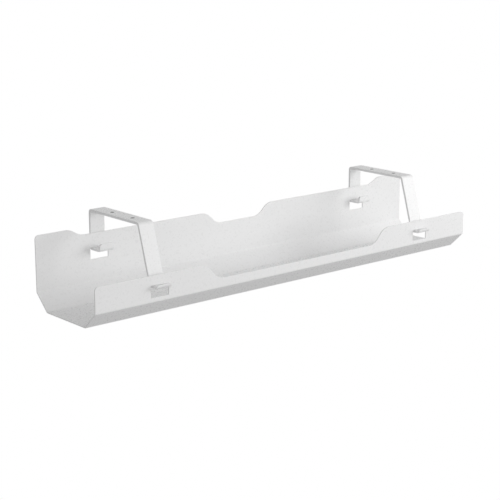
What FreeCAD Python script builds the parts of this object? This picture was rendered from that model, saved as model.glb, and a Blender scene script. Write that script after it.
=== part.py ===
import FreeCAD, Part
import os

import Sketcher

# Cable tray that hangs under a desk: one folded steel trough on two bent steel straps.
# Each strap is screwed up into the desk top. Its two tongues pass through slots in the trough's
# walls, and the upper edges of those slots rest on them. Lifting the trough and drawing it
# forward frees it.
#
# Millimetres, +X along the trough, +Y to the back, +Z up. The origin is the middle of the four
# screw holes, on the face that meets the desk. Inside each body, z starts at the trough's
# underside and y at the middle of its depth.

# Driving dimensions.
SIZES = {
    # Trough: one sheet, open at both ends.
    "tray_length": 600.0,
    "tray_depth": 120.0,
    "floor_width": 78.0,
    "fold_height": 20.0,
    "sheet_thickness": 1.5,
    "sheet_bend_radius": 1.5,
    "end_corner_radius": 5.0,
    "edge_curve_radius": 20.0,
    # Front wall: high ends, a wide dip between them.
    "front_height": 51.0,
    "front_dip_height": 31.0,
    "front_dip_top_width": 292.0,
    "front_dip_floor_width": 257.0,
    # Back wall: raised ends, a small notch in the middle.
    "back_end_height": 87.0,
    "back_height": 78.5,
    "back_notch_height": 63.0,
    "back_end_gap_top": 508.0,
    "back_end_gap_floor": 477.0,
    "back_notch_top_width": 100.0,
    "back_notch_floor_width": 70.0,
    # Slots for the straps' tongues.
    "slot_width": 25.0,
    "slot_height": 14.0,
    "front_slot_top": 39.0,
    "back_slot_top": 61.0,
    # Straps.
    "bracket_spacing": 426.0,
    "strap_width": 20.0,
    "strap_thickness": 3.0,
    "strap_bend_radius": 1.5,
    "hang_height": 107.0,
    "bar_front": 35.0,
    "leg_lean": 17.0,
    "back_leg_gap": 1.0,
    "seat_gap": 0.1,
    "tab_reach": 16.5,
    "tab_height": 9.6,
    "tab_corner_radius": 3.0,
    "lip_reach": 9.0,
    "lip_height": 5.0,
    "lip_corner_radius": 1.5,
    # Screw holes in each strap.
    "screw_spacing": 40.0,
    "screw_setback": 10.0,
    "screw_hole_diameter": 5.0,
}

CUT_MARGIN = 5.0
TOLERANCE = 0.01

os.makedirs("parts", exist_ok=True)
doc = FreeCAD.newDocument("CableTray")


def make_sheet():
    sheet = doc.addObject("Spreadsheet::Sheet", "Sizes")
    for row, (alias, value) in enumerate(SIZES.items(), start=1):
        sheet.set(f"A{row}", alias)
        sheet.set(f"B{row}", str(value))
        sheet.setAlias(f"B{row}", alias)
    doc.recompute()


def size(formula):
    """Turn a formula in plain aliases into one that reads them from the sheet."""
    words = formula.replace("(", "( ").replace(")", " )").split()
    return " ".join(f"Sizes.{word}" if word in SIZES else word for word in words)


def make_body(name, x_formula):
    body = doc.addObject("PartDesign::Body", name)
    body.Label = name
    body.setExpression("Placement.Base.x", size(x_formula))
    body.setExpression("Placement.Base.y", size("-1 * screw_setback"))
    body.setExpression("Placement.Base.z", size("-1 * hang_height"))
    return body


def make_sketch(body, name, plane_role, height="0"):
    sketch = body.newObject("Sketcher::SketchObject", name)
    plane = next(item for item in body.Origin.OriginFeatures if item.Role == plane_role)
    sketch.AttachmentSupport = [(plane, "")]
    sketch.MapMode = "FlatFace"
    sketch.setExpression("AttachmentOffset.Base.z", size(height))
    return sketch


def pin_point(sketch, name, geometry, end, formulas):
    """Hold one point of the sketch at two distances from its origin, both bound to the sheet."""
    for kind, formula in zip(("DistanceX", "DistanceY"), formulas):
        value = float(sketch.evalExpression(size(formula)))
        index = sketch.addConstraint(Sketcher.Constraint(kind, -1, 1, geometry, end, value))
        sketch.renameConstraint(index, f"{name}_{kind}")
        sketch.setExpression(f"Constraints.{name}_{kind}", size(formula))


def draw_polygon(sketch, corners):
    """Draw a closed outline whose corners are pairs of formulas, and return where they lie."""
    points = [
        FreeCAD.Vector(*(float(sketch.evalExpression(size(formula))) for formula in corner), 0)
        for corner in corners
    ]
    last = len(points) - 1
    for index, point in enumerate(points):
        sketch.addGeometry(Part.LineSegment(point, points[index - last]), False)
    for index in range(len(points)):
        follower = index + 1 if index < last else 0
        sketch.addConstraint(Sketcher.Constraint("Coincident", index, 2, follower, 1))
    for index, corner in enumerate(corners):
        pin_point(sketch, f"corner{index}", index, 1, corner)
    return points


def mirrored(right_side):
    """Complete an outline that is listed along its right side with its mirror image."""
    left_side = [(f"-1 * ( {across} )", up) for across, up in reversed(right_side)]
    return right_side + left_side


def make_pad(body, name, sketch, length):
    pad = body.newObject("PartDesign::Pad", name)
    pad.Profile = sketch
    pad.SideType = "Symmetric"
    pad.setExpression("Length", size(length))
    doc.recompute()
    return pad


def make_pocket(body, name, sketch, towards_front):
    """Cut through one wall only, from the middle of the trough outwards."""
    before = body.Shape.Volume
    pocket = body.newObject("PartDesign::Pocket", name)
    pocket.Profile = sketch
    pocket.Type = "ThroughAll"
    pocket.Reversed = towards_front
    doc.recompute()
    assert pocket.Shape.Volume < before - 1.0, f"{name} cuts nothing"
    return pocket


def make_fillet(body, name, base, edges, radius):
    assert edges, f"{name} has no edges"
    fillet = body.newObject("PartDesign::Fillet", name)
    fillet.Base = (base, edges)
    fillet.setExpression("Radius", size(radius))
    doc.recompute()
    return fillet


def edges_along(shape, axis, length):
    """Name and midpoint of each straight edge of one length that runs along an axis."""
    found = []
    for index, edge in enumerate(shape.Edges, start=1):
        if edge.Curve.TypeId != "Part::GeomLine" or abs(edge.Length - length) > TOLERANCE:
            continue
        if edge.tangentAt(edge.FirstParameter).cross(axis).Length < TOLERANCE:
            found.append((f"Edge{index}", edge.CenterOfMass))
    return found


def edges_at(shape, points):
    """The strap's bend edges, which run along X, at the given places of its side view."""
    edges = edges_along(shape, FreeCAD.Vector(1, 0, 0), SIZES["strap_width"])
    return [
        name
        for name, middle in edges
        if any(abs(middle.y - at.x) + abs(middle.z - at.y) < TOLERANCE for at in points)
    ]


def fold_sheet(body):
    """Make the folded sheet with both walls at full height, before its edges are cut."""
    half_section = [
        ("floor_width / 2", "0"),
        ("tray_depth / 2", "fold_height"),
        ("tray_depth / 2", "back_end_height"),
    ]
    section = make_sketch(body, "tray_section", "YZ_Plane")
    draw_polygon(section, mirrored(half_section))
    block = make_pad(body, "tray_block", section, "tray_length")

    folds = [
        name
        for name, middle in edges_along(block.Shape, FreeCAD.Vector(1, 0, 0), SIZES["tray_length"])
        if middle.z < SIZES["fold_height"] + TOLERANCE
    ]
    bent = make_fillet(body, "tray_bends", block, folds, "sheet_bend_radius + sheet_thickness")

    half_length = SIZES["tray_length"] / 2
    open_faces = [
        f"Face{index}"
        for index, face in enumerate(bent.Shape.Faces, start=1)
        if abs(face.CenterOfMass.z - SIZES["back_end_height"]) < TOLERANCE
        or abs(abs(face.CenterOfMass.x) - half_length) < TOLERANCE
    ]
    shell = body.newObject("PartDesign::Thickness", "tray_sheet")
    shell.Base = (bent, open_faces)
    shell.Reversed = True
    shell.setExpression("Value", size("sheet_thickness"))
    doc.recompute()


def trim_front_wall(body):
    """Lower the front wall and cut the wide dip in its top edge."""
    beyond_end = f"tray_length / 2 + {CUT_MARGIN}"
    right_side = [
        (beyond_end, f"back_end_height + {CUT_MARGIN}"),
        (beyond_end, "front_height"),
        ("front_dip_top_width / 2", "front_height"),
        ("front_dip_floor_width / 2", "front_dip_height"),
    ]
    sketch = make_sketch(body, "front_edge_sketch", "XZ_Plane")
    draw_polygon(sketch, mirrored(right_side))
    make_pocket(body, "front_edge_cut", sketch, towards_front=True)


def trim_back_wall(body):
    """Leave the back wall's ends raised, and cut the notch in the middle."""
    right_side = [
        ("back_end_gap_top / 2", f"back_end_height + {CUT_MARGIN}"),
        ("back_end_gap_top / 2", "back_end_height"),
        ("back_end_gap_floor / 2", "back_height"),
        ("back_notch_top_width / 2", "back_height"),
        ("back_notch_floor_width / 2", "back_notch_height"),
    ]
    sketch = make_sketch(body, "back_edge_sketch", "XZ_Plane")
    draw_polygon(sketch, mirrored(right_side))
    make_pocket(body, "back_edge_cut", sketch, towards_front=False)


def round_wall_edges(body):
    """Round the four outer corners of the walls, then ease every step in their top edges."""
    across_sheet = FreeCAD.Vector(0, 1, 0)
    half_length = SIZES["tray_length"] / 2
    base = body.Tip
    corners = [
        name
        for name, middle in edges_along(base.Shape, across_sheet, SIZES["sheet_thickness"])
        if abs(middle.x) > half_length - TOLERANCE
    ]
    rounded = make_fillet(body, "wall_end_corners", base, corners, "end_corner_radius")
    steps = [
        name
        for name, middle in edges_along(rounded.Shape, across_sheet, SIZES["sheet_thickness"])
        if abs(middle.x) < half_length - 2 * SIZES["end_corner_radius"]
    ]
    make_fillet(body, "wall_edge_curves", rounded, steps, "edge_curve_radius")


def cut_slots(body, wall, slot_top, towards_front):
    """Cut one wall's two slots, each centred on its strap."""
    inner = "bracket_spacing / 2 - slot_width / 2"
    outer = "bracket_spacing / 2 + slot_width / 2"
    slot_floor = f"{slot_top} - slot_height"
    rectangle = [(inner, slot_top), (outer, slot_top), (outer, slot_floor), (inner, slot_floor)]
    for side, sign in (("left", "-1"), ("right", "1")):
        corners = [(f"{sign} * ( {across} )", up) for across, up in rectangle]
        sketch = make_sketch(body, f"{side}_{wall}_slot_sketch", "XZ_Plane")
        draw_polygon(sketch, corners)
        make_pocket(body, f"{side}_{wall}_slot", sketch, towards_front)


def make_tray():
    body = make_body("tray", "0")
    fold_sheet(body)
    trim_front_wall(body)
    trim_back_wall(body)
    round_wall_edges(body)
    cut_slots(body, "front", "front_slot_top", towards_front=True)
    cut_slots(body, "back", "back_slot_top", towards_front=False)
    return body


def strap_side_view():
    """The strap seen from its side, as the two faces of the steel, each from tab to lip."""
    lean = "tan( leg_lean * 1 deg )"
    across_leg = "strap_thickness / cos( leg_lean * 1 deg )"
    tab_face = "tray_depth / 2 - sheet_thickness - tab_reach"
    back_leg = "tray_depth / 2 + back_leg_gap"
    lip_face = "-1 * tray_depth / 2 - lip_reach"
    back_seat = "back_slot_top - seat_gap"
    front_seat = "front_slot_top - seat_gap"
    bar_underside = "hang_height - strap_thickness"
    tab_top = f"{back_seat} - strap_thickness + tab_height"
    lip_top = f"{front_seat} - strap_thickness + lip_height"
    outer_face = [
        (tab_face, tab_top),
        (tab_face, f"{back_seat} - strap_thickness"),
        (f"{back_leg} + strap_thickness", f"{back_seat} - strap_thickness"),
        (f"{back_leg} + strap_thickness", "hang_height"),
        ("-1 * bar_front", "hang_height"),
        (f"-1 * bar_front - {lean} * ( hang_height - ( {front_seat} ) )", front_seat),
        (f"{lip_face} + strap_thickness", front_seat),
        (f"{lip_face} + strap_thickness", lip_top),
    ]
    inner_face = [
        (f"{tab_face} + strap_thickness", tab_top),
        (f"{tab_face} + strap_thickness", back_seat),
        (back_leg, back_seat),
        (back_leg, bar_underside),
        (f"-1 * bar_front + {across_leg} - {lean} * strap_thickness", bar_underside),
        (
            f"-1 * bar_front + {across_leg}"
            f" - {lean} * ( hang_height - ( {front_seat} ) + strap_thickness )",
            f"{front_seat} - strap_thickness",
        ),
        (lip_face, f"{front_seat} - strap_thickness"),
        (lip_face, lip_top),
    ]
    return outer_face, inner_face


def bend_strap(body):
    """Pad the strap's side view to its width, and round both faces of its six bends."""
    outer_face, inner_face = strap_side_view()
    side_view = make_sketch(body, f"{body.Name}_side_view", "YZ_Plane")
    points = draw_polygon(side_view, outer_face + inner_face[::-1])
    strap = make_pad(body, f"{body.Name}_strap", side_view, "strap_width")

    bends = len(outer_face) - 2
    outer = points[1 : bends + 1]
    inner = points[::-1][1 : bends + 1]
    # The first four bends turn one way and the last two the other, so the long side changes face.
    turns_over = 4
    wide = outer[:turns_over] + inner[turns_over:]
    tight = inner[:turns_over] + outer[turns_over:]
    bent = make_fillet(
        body,
        f"{body.Name}_outside_bends",
        strap,
        edges_at(strap.Shape, wide),
        "strap_bend_radius + strap_thickness",
    )
    make_fillet(
        body,
        f"{body.Name}_inside_bends",
        bent,
        edges_at(bent.Shape, tight),
        "strap_bend_radius",
    )
    return points[0].y, points[bends + 1].y


def round_tip(body, name, height, radius):
    """Round the two corners of one upturned end of the strap."""
    base = body.Tip
    across_steel = FreeCAD.Vector(0, 1, 0)
    tips = [
        edge
        for edge, middle in edges_along(base.Shape, across_steel, SIZES["strap_thickness"])
        if abs(middle.z - height) < TOLERANCE
    ]
    make_fillet(body, f"{body.Name}_{name}_corners", base, tips, radius)


def drill_screw_holes(body):
    sketch = make_sketch(body, f"{body.Name}_screw_sketch", "XY_Plane", "hang_height")
    radius = SIZES["screw_hole_diameter"] / 2
    for index, sign in enumerate(("1", "-1")):
        sketch.addGeometry(Part.Circle(FreeCAD.Vector(0, 0, 0), FreeCAD.Vector(0, 0, 1), radius))
        centre = ("0", f"screw_setback + {sign} * screw_spacing / 2")
        pin_point(sketch, f"hole{index}", index, 3, centre)
        round_size = sketch.addConstraint(Sketcher.Constraint("Diameter", index, 2 * radius))
        sketch.renameConstraint(round_size, f"hole{index}_Diameter")
        sketch.setExpression(f"Constraints.hole{index}_Diameter", size("screw_hole_diameter"))
    doc.recompute()

    before = body.Shape.Volume
    holes = body.newObject("PartDesign::Hole", f"{body.Name}_screw_holes")
    holes.Profile = sketch
    holes.DepthType = "ThroughAll"
    holes.setExpression("Diameter", size("screw_hole_diameter"))
    doc.recompute()
    assert holes.Shape.Volume < before - 1.0, "the screw holes cut nothing"


def make_bracket(name, x_formula):
    body = make_body(name, x_formula)
    tab_top, lip_top = bend_strap(body)
    round_tip(body, "tab", tab_top, "tab_corner_radius")
    round_tip(body, "lip", lip_top, "lip_corner_radius")
    drill_screw_holes(body)
    return body


def export(bodies):
    for item in doc.Objects:
        faults = {"Invalid", "Error"}.intersection(item.State)
        assert not faults, f"{item.Label} is {sorted(faults)}"
    for body in bodies:
        assert not body.Shape.isNull() and body.Shape.isValid(), f"{body.Label} has no sound shape"
        assert len(body.Shape.Solids) == 1, f"{body.Label} is not one solid"
    for body in bodies:
        body.Shape.exportStep(f"parts/{body.Label}.step")
        box = body.Shape.BoundBox
        print(
            f"{body.Label}: volume {body.Shape.Volume:.0f} mm3,"
            f" x {box.XMin:.2f} to {box.XMax:.2f},"
            f" y {box.YMin:.2f} to {box.YMax:.2f},"
            f" z {box.ZMin:.2f} to {box.ZMax:.2f}"
        )


make_sheet()
parts = [
    make_tray(),
    make_bracket("left_bracket", "-1 * bracket_spacing / 2"),
    make_bracket("right_bracket", "bracket_spacing / 2"),
]
doc.recompute()
export(parts)
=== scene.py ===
import math

import bpy
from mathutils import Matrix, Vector
from mathutils.geometry import delaunay_2d_cdt


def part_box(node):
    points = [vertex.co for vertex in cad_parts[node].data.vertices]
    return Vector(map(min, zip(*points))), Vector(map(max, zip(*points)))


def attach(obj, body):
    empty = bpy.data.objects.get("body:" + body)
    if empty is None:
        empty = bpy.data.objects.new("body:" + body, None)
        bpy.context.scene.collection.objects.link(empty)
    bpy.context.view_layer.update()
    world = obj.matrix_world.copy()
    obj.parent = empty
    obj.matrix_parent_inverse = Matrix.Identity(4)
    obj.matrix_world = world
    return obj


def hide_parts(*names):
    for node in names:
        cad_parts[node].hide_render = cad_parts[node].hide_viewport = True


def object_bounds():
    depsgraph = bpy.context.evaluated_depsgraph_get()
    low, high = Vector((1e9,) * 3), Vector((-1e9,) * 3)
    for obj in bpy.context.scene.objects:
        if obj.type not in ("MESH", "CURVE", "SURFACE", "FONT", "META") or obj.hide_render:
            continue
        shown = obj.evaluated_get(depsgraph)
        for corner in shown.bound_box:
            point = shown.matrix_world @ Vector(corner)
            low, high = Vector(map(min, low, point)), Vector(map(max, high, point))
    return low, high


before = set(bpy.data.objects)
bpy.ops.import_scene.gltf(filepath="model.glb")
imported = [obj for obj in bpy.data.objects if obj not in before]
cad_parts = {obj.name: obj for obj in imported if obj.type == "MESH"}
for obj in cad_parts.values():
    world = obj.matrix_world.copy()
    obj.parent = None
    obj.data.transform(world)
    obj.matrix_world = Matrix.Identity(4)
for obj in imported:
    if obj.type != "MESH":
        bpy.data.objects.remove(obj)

# A white powder-coated cable tray: one folded sheet that hangs on two bent steel straps.
# Metres, in the part's own frame: +X along the trough, +Y to the back, +Z up, and the origin in
# the middle of the four screw holes. Sizes marked "above the underside" count up from the
# trough's lowest face.

cad_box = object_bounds()

SHEET = 0.0015
SHEET_BEND = 0.0015
FLOOR_WIDTH = 0.078
FOLD_HEIGHT = 0.020
END_CORNER = 0.005
EDGE_CURVE = 0.020

# Heights above the underside, and widths centred on the trough.
FRONT_HEIGHT = 0.051
FRONT_DIP_HEIGHT = 0.031
FRONT_DIP_TOP = 0.292
FRONT_DIP_FLOOR = 0.257
BACK_HEIGHT = 0.0785
BACK_NOTCH_HEIGHT = 0.063
BACK_GAP_TOP = 0.508
BACK_GAP_FLOOR = 0.477
BACK_NOTCH_TOP = 0.100
BACK_NOTCH_FLOOR = 0.070

SLOT_WIDTH = 0.025
SLOT_HEIGHT = 0.014
SLOT_CORNER = 0.0004
FRONT_SLOT_TOP = 0.039
BACK_SLOT_TOP = 0.061

STRAP = 0.003
STRAP_BEND = 0.0015
BAR_FRONT = 0.035
LEG_LEAN = math.radians(17.0)
BACK_LEG_GAP = 0.001
SEAT_GAP = 0.0001
TAB_REACH = 0.0165
TAB_HEIGHT = 0.0096
TAB_CORNER = 0.003
LIP_REACH = 0.009
LIP_HEIGHT = 0.005
LIP_CORNER = 0.0015
SCREW_SPACING = 0.040
SCREW_RADIUS = 0.0025

# How far the coating rounds a cut edge, and how finely the curves are drawn.
SHEET_EASE = 0.00035
STRAP_EASE = 0.0003
EASE_STEPS = 4
BEND_STEPS = 10
CURVE_STEPS = 14
BORE_STEPS = 3 * CURVE_STEPS
# How near a bend mark may come to a corner, and the sharpest corner that an edge is eased round.
MARK_MARGIN = 1e-6
SHARPEST = 0.3


class Path:
    """The middle of the metal's thickness seen from the side: straight runs joined by bends."""

    def __init__(self, corners, radius):
        self.runs = []
        self.bend_marks = []
        at = 0.0
        here = corners[0]
        for before, corner, after in zip(corners, corners[1:], corners[2:]):
            into = (corner - before).normalized()
            out = (after - corner).normalized()
            turn = math.atan2(into.cross(out), into.dot(out))
            reach = radius * math.tan(abs(turn) / 2)
            start = corner - into * reach
            straight = (start - here).length
            self.runs.append((at, straight, here, into, 0.0))
            at += straight
            arc = radius * abs(turn)
            self.runs.append((at, arc, start, into, math.copysign(1 / radius, turn)))
            self.bend_marks += [at + arc * k / BEND_STEPS for k in range(BEND_STEPS + 1)]
            at += arc
            here = corner + out * reach
        heading = (corners[-1] - here).normalized()
        self.runs.append((at, (corners[-1] - here).length, here, heading, 0.0))
        self.length = at + (corners[-1] - here).length

    def at(self, s):
        """The place and heading at a distance along the path."""
        begin, _, place, heading, curl = max(
            (run for run in self.runs if run[0] <= s + 1e-9), key=lambda run: run[0]
        )
        along = s - begin
        if not curl:
            return place + heading * along, heading
        side = Vector((-heading.y, heading.x))
        turn = along * curl
        place = place + (heading * math.sin(turn) + side * (1 - math.cos(turn))) / curl
        return place, heading * math.cos(turn) + side * math.sin(turn)


def rounded(corners):
    """A closed outline of (x, s, radius) corners, with each corner drawn as an arc."""
    outline = []
    for index, (x, s, radius) in enumerate(corners):
        corner = Vector((x, s))
        into = (corner - Vector(corners[index - 1][:2])).normalized()
        out = (Vector(corners[(index + 1) % len(corners)][:2]) - corner).normalized()
        turn = math.atan2(into.cross(out), into.dot(out))
        if not radius:
            outline.append(corner)
            continue
        start = corner - into * radius * math.tan(abs(turn) / 2)
        side = Vector((-into.y, into.x)) * math.copysign(1, turn)
        for k in range(CURVE_STEPS + 1):
            angle = abs(turn) * k / CURVE_STEPS
            outline.append(
                start + (into * math.sin(angle) + side * (1 - math.cos(angle))) * radius
            )
    return outline


def marked(outline, marks):
    """The outline with a point added wherever its straight sides pass one of the marks."""
    points = []
    for here, after in zip(outline, outline[1:] + outline[:1]):
        points.append(here)
        low, high = min(here.y, after.y) + MARK_MARGIN, max(here.y, after.y) - MARK_MARGIN
        crossed = [mark for mark in marks if low < mark < high]
        for mark in sorted(crossed, reverse=after.y < here.y):
            points.append(here.lerp(after, (mark - here.y) / (after.y - here.y)))
    return points


def outward(points):
    """For each point of a loop, the way out of the metal, and how far a corner stretches it."""
    ways = []
    for before, here, after in zip(points[-1:] + points[:-1], points, points[1:] + points[:1]):
        first = (here - before).normalized()
        second = (after - here).normalized()
        way = Vector((first.y + second.y, -first.x - second.x)).normalized()
        ways.append((way, 1 / max(SHARPEST, way.dot(Vector((first.y, -first.x))))))
    return ways


def inside(point, loop):
    odd = False
    for a, b in zip(loop, loop[1:] + loop[:1]):
        if (a.y > point.y) != (b.y > point.y):
            if point.x < a.x + (point.y - a.y) / (b.y - a.y) * (b.x - a.x):
                odd = not odd
    return odd


def fold_plate(name, path, thickness, ease, outline, holes, materials, x_centre=0.0):
    """A bent plate: its flat outline and holes, with eased edges, wrapped along a path.

    The last of its materials is the one on the walls of its holes.
    """
    loops = [marked(outline, path.bend_marks)] + holes
    ring = []
    for k in range(EASE_STEPS + 1):
        angle = math.pi / 2 * k / EASE_STEPS
        inset, height = ease * (1 - math.sin(angle)), thickness / 2 - ease * (1 - math.cos(angle))
        ring.append((inset, height, angle))
    ring += [(inset, -height, math.pi - angle) for inset, height, angle in reversed(ring)]

    flat = []
    first_of = []
    for points in loops:
        first_of.append(len(flat))
        ways = outward(points)
        for inset, height, angle in ring:
            for point, (way, stretch) in zip(points, ways):
                spot = point - way * stretch * inset
                lean = way * math.sin(angle)
                flat.append((spot, height, (lean.x, lean.y, math.cos(angle))))

    faces = []
    bore_faces = []
    for points, first in zip(loops, first_of):
        count = len(points)
        for level in range(len(ring) - 1):
            if points is not loops[0] and level == EASE_STEPS:
                bore_faces += range(len(faces), len(faces) + count)
            for i in range(count):
                j = (i + 1) % count
                upper, lower = first + level * count, first + (level + 1) * count
                faces.append((upper + i, lower + i, lower + j, upper + j))

    cap, cap_index, edges = [], [], []
    for points, first in zip(loops, first_of):
        base = len(cap)
        count = len(points)
        cap += [flat[first + i][0] for i in range(count)]
        cap_index += range(first, first + count)
        edges += [(base + i, base + (i + 1) % count) for i in range(count)]
    for mark in path.bend_marks:
        row = [i for i in range(len(loops[0])) if abs(loops[0][i].y - mark) < 1e-7]
        row.sort(key=lambda i: cap[i].x)
        edges.append((row[0], row[-1]))
    _, _, triangles, origins, _, _ = delaunay_2d_cdt(cap, edges, [], 1, 1e-8)
    hole_rims = [
        [flat[first + i][0] for i in range(len(points))]
        for points, first in zip(loops[1:], first_of[1:])
    ]
    below = [(len(ring) - 1) * len(points) for points in loops]
    loop_of = [index for index, points in enumerate(loops) for _ in points]
    for triangle in triangles:
        corners = [origins[v][0] for v in triangle]
        middle = sum((cap[c] for c in corners), Vector((0, 0))) / 3
        if any(inside(middle, rim) for rim in hole_rims):
            continue
        faces.append([cap_index[c] for c in corners])
        faces.append([cap_index[c] + below[loop_of[c]] for c in reversed(corners)])

    verts, normals = [], []
    for spot, height, lean in flat:
        place, heading = path.at(spot.y)
        side = Vector((-heading.y, heading.x))
        place = place + side * height
        tilt = heading * lean[1] + side * lean[2]
        verts.append((x_centre + spot.x, place.x, place.y))
        normals.append(Vector((lean[0], tilt.x, tilt.y)).normalized())
    mesh = bpy.data.meshes.new(name)
    mesh.from_pydata(verts, [], faces)
    mesh.shade_smooth()
    mesh.normals_split_custom_set_from_vertices(normals)
    for material in materials:
        mesh.materials.append(material)
    for index in bore_faces:
        mesh.polygons[index].material_index = len(materials) - 1
    piece = bpy.data.objects.new(name, mesh)
    bpy.context.scene.collection.objects.link(piece)
    return piece


def mirrored(right_side):
    return right_side + [(-x, height, radius) for x, height, radius in reversed(right_side)]


def slot_loop(x, s):
    """One slot's outline, run clockwise because it bounds a hole."""
    a, b = SLOT_WIDTH / 2, SLOT_HEIGHT / 2
    corners = [(x - a, s - b), (x - a, s + b), (x + a, s + b), (x + a, s - b)]
    return rounded([(*corner, SLOT_CORNER) for corner in corners])


def make_tray(strap_centre, coat):
    low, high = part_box("tray")
    middle, underside = (low.y + high.y) / 2, low.z
    depth, half_length, back_end = high.y - low.y, high.x, high.z - low.z

    # The sheet's middle surface lies half a thickness inside its outer faces.
    half = SHEET / 2
    slant = math.atan2(FOLD_HEIGHT, (depth - FLOOR_WIDTH) / 2)
    floor_corner = FLOOR_WIDTH / 2 - half * math.tan(slant / 2)
    wall_corner = FOLD_HEIGHT + half * math.tan((math.pi / 2 - slant) / 2)
    wall = depth / 2 - half
    section = [
        (-wall, FRONT_HEIGHT),
        (-wall, wall_corner),
        (-floor_corner, half),
        (floor_corner, half),
        (wall, wall_corner),
        (wall, back_end),
    ]
    path = Path([Vector((middle + y, underside + z)) for y, z in section], SHEET_BEND + half)

    def front(height):
        return FRONT_HEIGHT - height

    def back(height):
        return path.length - back_end + height

    back_edge = [
        (half_length, back(back_end), END_CORNER),
        (BACK_GAP_TOP / 2, back(back_end), EDGE_CURVE),
        (BACK_GAP_FLOOR / 2, back(BACK_HEIGHT), EDGE_CURVE),
        (BACK_NOTCH_TOP / 2, back(BACK_HEIGHT), EDGE_CURVE),
        (BACK_NOTCH_FLOOR / 2, back(BACK_NOTCH_HEIGHT), EDGE_CURVE),
    ]
    front_edge = [
        (FRONT_DIP_FLOOR / 2, front(FRONT_DIP_HEIGHT), EDGE_CURVE),
        (FRONT_DIP_TOP / 2, front(FRONT_HEIGHT), EDGE_CURVE),
        (half_length, front(FRONT_HEIGHT), END_CORNER),
    ]
    front_edge = [(-x, s, r) for x, s, r in reversed(front_edge)] + front_edge
    outline = rounded(mirrored(back_edge) + front_edge)
    slots = [
        slot_loop(side * strap_centre, s)
        for side in (-1, 1)
        for s in (
            front(FRONT_SLOT_TOP - SLOT_HEIGHT / 2),
            back(BACK_SLOT_TOP - SLOT_HEIGHT / 2),
        )
    ]
    return fold_plate("tray_sheet", path, SHEET, SHEET_EASE, outline, slots, [coat])


# Which of the strap's runs and bends, counted from the tab, is the bar. It runs back to front.
BAR_RUN = 6


# The walls of the screw holes take the last finish, a near-black painted shade.
def make_bracket(node, coat, hole_shade):
    low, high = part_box(node)
    tray_low, tray_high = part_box("tray")
    middle, underside = (tray_low.y + tray_high.y) / 2, tray_low.z
    half_depth, top = (tray_high.y - tray_low.y) / 2, high.z - tray_low.z
    lean, across = math.tan(LEG_LEAN), STRAP / math.cos(LEG_LEAN)
    tab_face = half_depth - SHEET - TAB_REACH
    back_leg = half_depth + BACK_LEG_GAP
    lip_face = -half_depth - LIP_REACH
    back_seat, front_seat = BACK_SLOT_TOP - SEAT_GAP, FRONT_SLOT_TOP - SEAT_GAP
    half = STRAP / 2
    leg_middle = -BAR_FRONT + across / 2
    section = [
        (tab_face + half, back_seat - STRAP + TAB_HEIGHT),
        (tab_face + half, back_seat - half),
        (back_leg + half, back_seat - half),
        (back_leg + half, top - half),
        (leg_middle - lean * half, top - half),
        (leg_middle - lean * (top - front_seat + half), front_seat - half),
        (lip_face + half, front_seat - half),
        (lip_face + half, front_seat - STRAP + LIP_HEIGHT),
    ]
    path = Path([Vector((middle + y, underside + z)) for y, z in section], STRAP_BEND + half)
    half_width = (high.x - low.x) / 2
    outline = rounded(
        [
            (half_width, 0.0, TAB_CORNER),
            (half_width, path.length, LIP_CORNER),
            (-half_width, path.length, LIP_CORNER),
            (-half_width, 0.0, TAB_CORNER),
        ]
    )
    bar_start, _, bar_place, _, _ = path.runs[BAR_RUN]
    holes = []
    for y in (SCREW_SPACING / 2, -SCREW_SPACING / 2):
        s = bar_start + bar_place.x - y
        turns = [-2 * math.pi * k / BORE_STEPS for k in range(BORE_STEPS)]
        centre = Vector((0, s))
        holes.append([Vector((math.cos(a), math.sin(a))) * SCREW_RADIUS + centre for a in turns])
    x_centre = (low.x + high.x) / 2
    return fold_plate(
        f"{node}_strap", path, STRAP, STRAP_EASE, outline, holes, [coat, hole_shade], x_centre
    )


# How many times a metre each texture of the coat repeats, and how strong the speckle and the
# uneven sheen are.
CLOUD_SCALE, SHEEN_SCALE, PEEL_SCALE, SPECK_SCALE = 14.0, 420.0, 520.0, 2600.0
SPECK_SHARE = 0.3
SHEEN_SPREAD = 0.05


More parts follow.
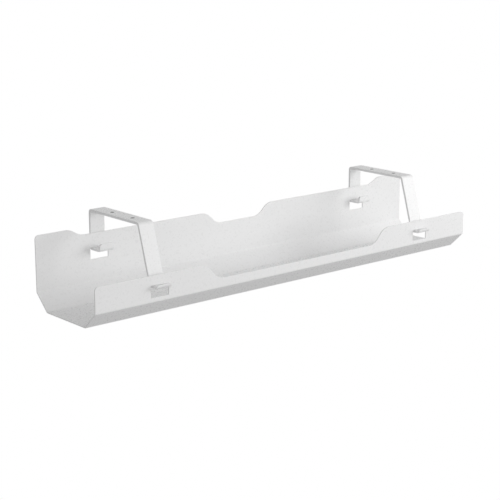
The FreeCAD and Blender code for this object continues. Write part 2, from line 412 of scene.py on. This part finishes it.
def powder_coat(name, base, shift, roughness):
    """Satin powder coat: a faint cloudiness, fine speckle and the orange peel of a baked film."""
    material = bpy.data.materials.new(name)
    material.use_nodes = True
    nodes, links = material.node_tree.nodes, material.node_tree.links
    shader = nodes["Principled BSDF"]
    place = nodes.new("ShaderNodeTexCoord").outputs["Object"]

    def noise(scale, detail):
        node = nodes.new("ShaderNodeTexNoise")
        node.inputs["Scale"].default_value = scale
        node.inputs["Detail"].default_value = detail
        links.new(place, node.inputs["Vector"])
        return node.outputs["Fac"]

    def ranged(value, low, high):
        node = nodes.new("ShaderNodeMapRange")
        node.inputs["From Min"].default_value = 0.3
        node.inputs["From Max"].default_value = 0.7
        node.inputs["To Min"].default_value = low
        node.inputs["To Max"].default_value = high
        links.new(value, node.inputs["Value"])
        return node.outputs["Result"]

    def mixed(factor, first, second):
        node = nodes.new("ShaderNodeMix")
        node.data_type = "RGBA"
        links.new(factor, node.inputs["Factor"])
        for socket, colour in ((node.inputs[6], first), (node.inputs[7], second)):
            if isinstance(colour, tuple):
                socket.default_value = colour
            else:
                links.new(colour, socket)
        return node.outputs[2]

    def grey(level):
        return (level, level, level, 1.0)

    cloud = mixed(
        ranged(noise(CLOUD_SCALE, 3.0), 0.0, 1.0), grey(base - shift), grey(base + shift)
    )
    speck = ranged(noise(SPECK_SCALE, 1.0), 0.0, SPECK_SHARE)
    links.new(mixed(speck, cloud, grey(base - 2 * shift)), shader.inputs["Base Color"])
    sheen = ranged(noise(SHEEN_SCALE, 2.0), roughness - SHEEN_SPREAD, roughness + SHEEN_SPREAD)
    links.new(sheen, shader.inputs["Roughness"])

    peel = nodes.new("ShaderNodeBump")
    peel.inputs["Strength"].default_value = 0.35
    peel.inputs["Distance"].default_value = 0.00006
    links.new(noise(PEEL_SCALE, 2.0), peel.inputs["Height"])
    grain = nodes.new("ShaderNodeBump")
    grain.inputs["Strength"].default_value = 0.3
    grain.inputs["Distance"].default_value = 0.00001
    links.new(noise(SPECK_SCALE, 1.0), grain.inputs["Height"])
    links.new(peel.outputs["Normal"], grain.inputs["Normal"])
    links.new(grain.outputs["Normal"], shader.inputs["Normal"])
    shader.inputs["IOR"].default_value = 1.5
    return material


strap_boxes = [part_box(node) for node in ("left_bracket", "right_bracket")]
strap_centre = sum(abs(low.x + high.x) / 2 for low, high in strap_boxes) / 2

# Each finish's lightness, cloudiness and roughness. The second is a near-black painted shade for
# the walls of the screw holes.
WHITE_COAT = (0.86, 0.006, 0.30)
HOLE_SHADE_PAINT = (0.06, 0.01, 0.55)
tray_material = powder_coat("tray_powder_coat", *WHITE_COAT)
bracket_material = powder_coat("bracket_powder_coat", *WHITE_COAT)
# The walls of the screw holes are painted near black: painted shade standing in for the shade
# inside the holes.
hole_shade_material = powder_coat("screw_hole_painted_shade", *HOLE_SHADE_PAINT)

tray = make_tray(strap_centre, tray_material)
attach(tray, "tray")
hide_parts("tray")

for node in ("left_bracket", "right_bracket"):
    strap = make_bracket(node, bracket_material, hole_shade_material)
    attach(strap, "brackets")
    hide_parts(node)


FLOOR_SIZE, FLOOR_DROP = 30.0, 0.30


def make_floor():
    """A pale floor well under the hanging tray, so evenly lit that no shadow reaches it."""
    size = FLOOR_SIZE
    z = cad_box[0].z - FLOOR_DROP
    mesh = bpy.data.meshes.new("floor")
    corners = [(-size, -size, z), (size, -size, z), (size, size, z), (-size, size, z)]
    mesh.from_pydata(corners, [], [(0, 1, 2, 3)])
    floor = bpy.data.objects.new("floor", mesh)
    bpy.context.scene.collection.objects.link(floor)
    material = bpy.data.materials.new("pale_floor")
    material.use_nodes = True
    shader = material.node_tree.nodes["Principled BSDF"]
    shader.inputs["Base Color"].default_value = (0.0, 0.0, 0.0, 1.0)
    shader.inputs["Specular IOR Level"].default_value = 0.0
    shader.inputs["Emission Color"].default_value = (1.0, 1.0, 1.0, 1.0)
    shader.inputs["Emission Strength"].default_value = 1.0
    material.cycles.emission_sampling = "NONE"
    mesh.materials.append(material)
    floor.visible_diffuse = False
    floor.visible_glossy = False
    floor.visible_shadow = False


def add_softbox(name, place, aim, width, height, power, gloss):
    """A soft light. Its gloss says how it shows: "none" lights the coat without being mirrored in
    it, "only" is mirrored without lighting it, and "both" does both.
    """
    data = bpy.data.lights.new(name, "AREA")
    data.shape = "RECTANGLE"
    data.size, data.size_y = width, height
    data.energy = power
    lamp = bpy.data.objects.new(name, data)
    lamp.location = place
    lamp.rotation_euler = (aim - place).to_track_quat("-Z", "Y").to_euler()
    lamp.visible_diffuse = gloss != "only"
    lamp.visible_glossy = gloss != "none"
    bpy.context.scene.collection.objects.link(lamp)


# Name, place, width, height and watts of each soft light, and how the coat's gloss shows it.
SOFTBOXES = [
    ("key", (1.2, -1.3, 0.35), 1.2, 0.9, 15.0, "none"),
    ("glint", (1.15, -1.3, 0.40), 0.4, 0.4, 4.0, "only"),
    ("right", (1.3, -0.3, 0.5), 1.0, 1.0, 2.7, "both"),
    ("front", (0.0, -1.8, 0.6), 1.6, 1.0, 3.5, "both"),
    ("front_left", (-1.3, -1.3, 0.6), 1.2, 0.9, 3.9, "both"),
    ("back", (0.3, 1.6, 0.7), 1.6, 1.0, 12.2, "none"),
]
AMBIENT = 0.427


def make_world():
    """White to the camera, and a softer even grey as light."""
    world = bpy.data.worlds.new("studio")
    bpy.context.scene.world = world
    world.use_nodes = True
    nodes, links = world.node_tree.nodes, world.node_tree.links
    nodes.clear()
    seen = nodes.new("ShaderNodeBackground")
    seen.inputs["Color"].default_value = (1.0, 1.0, 1.0, 1.0)
    lit = nodes.new("ShaderNodeBackground")
    lit.inputs["Color"].default_value = (AMBIENT, AMBIENT, AMBIENT, 1.0)
    mix = nodes.new("ShaderNodeMixShader")
    links.new(nodes.new("ShaderNodeLightPath").outputs["Is Camera Ray"], mix.inputs["Fac"])
    links.new(lit.outputs["Background"], mix.inputs[1])
    links.new(seen.outputs["Background"], mix.inputs[2])
    links.new(mix.outputs["Shader"], nodes.new("ShaderNodeOutputWorld").inputs["Surface"])


# Millimetres of lens, metres, and degrees down from level and round from +Y.
LENS = 96.84
CAMERA_PLACE = (-1.0779, -1.2390, 0.3282)
CAMERA_PITCH = 13.806
CAMERA_YAW = -40.469


def make_camera():
    data = bpy.data.cameras.new("camera")
    data.sensor_width = 36.0
    data.lens = LENS
    data.clip_end = 100.0
    camera = bpy.data.objects.new("camera", data)
    camera.location = CAMERA_PLACE
    camera.rotation_euler = (math.radians(90 - CAMERA_PITCH), 0.0, math.radians(CAMERA_YAW))
    bpy.context.scene.collection.objects.link(camera)
    bpy.context.scene.camera = camera


make_floor()
make_world()
make_camera()
centre = (cad_box[0] + cad_box[1]) / 2
for name, place, width, height, power, gloss in SOFTBOXES:
    add_softbox(name, Vector(place), centre, width, height, power, gloss)
bpy.context.scene.view_settings.view_transform = "Standard"
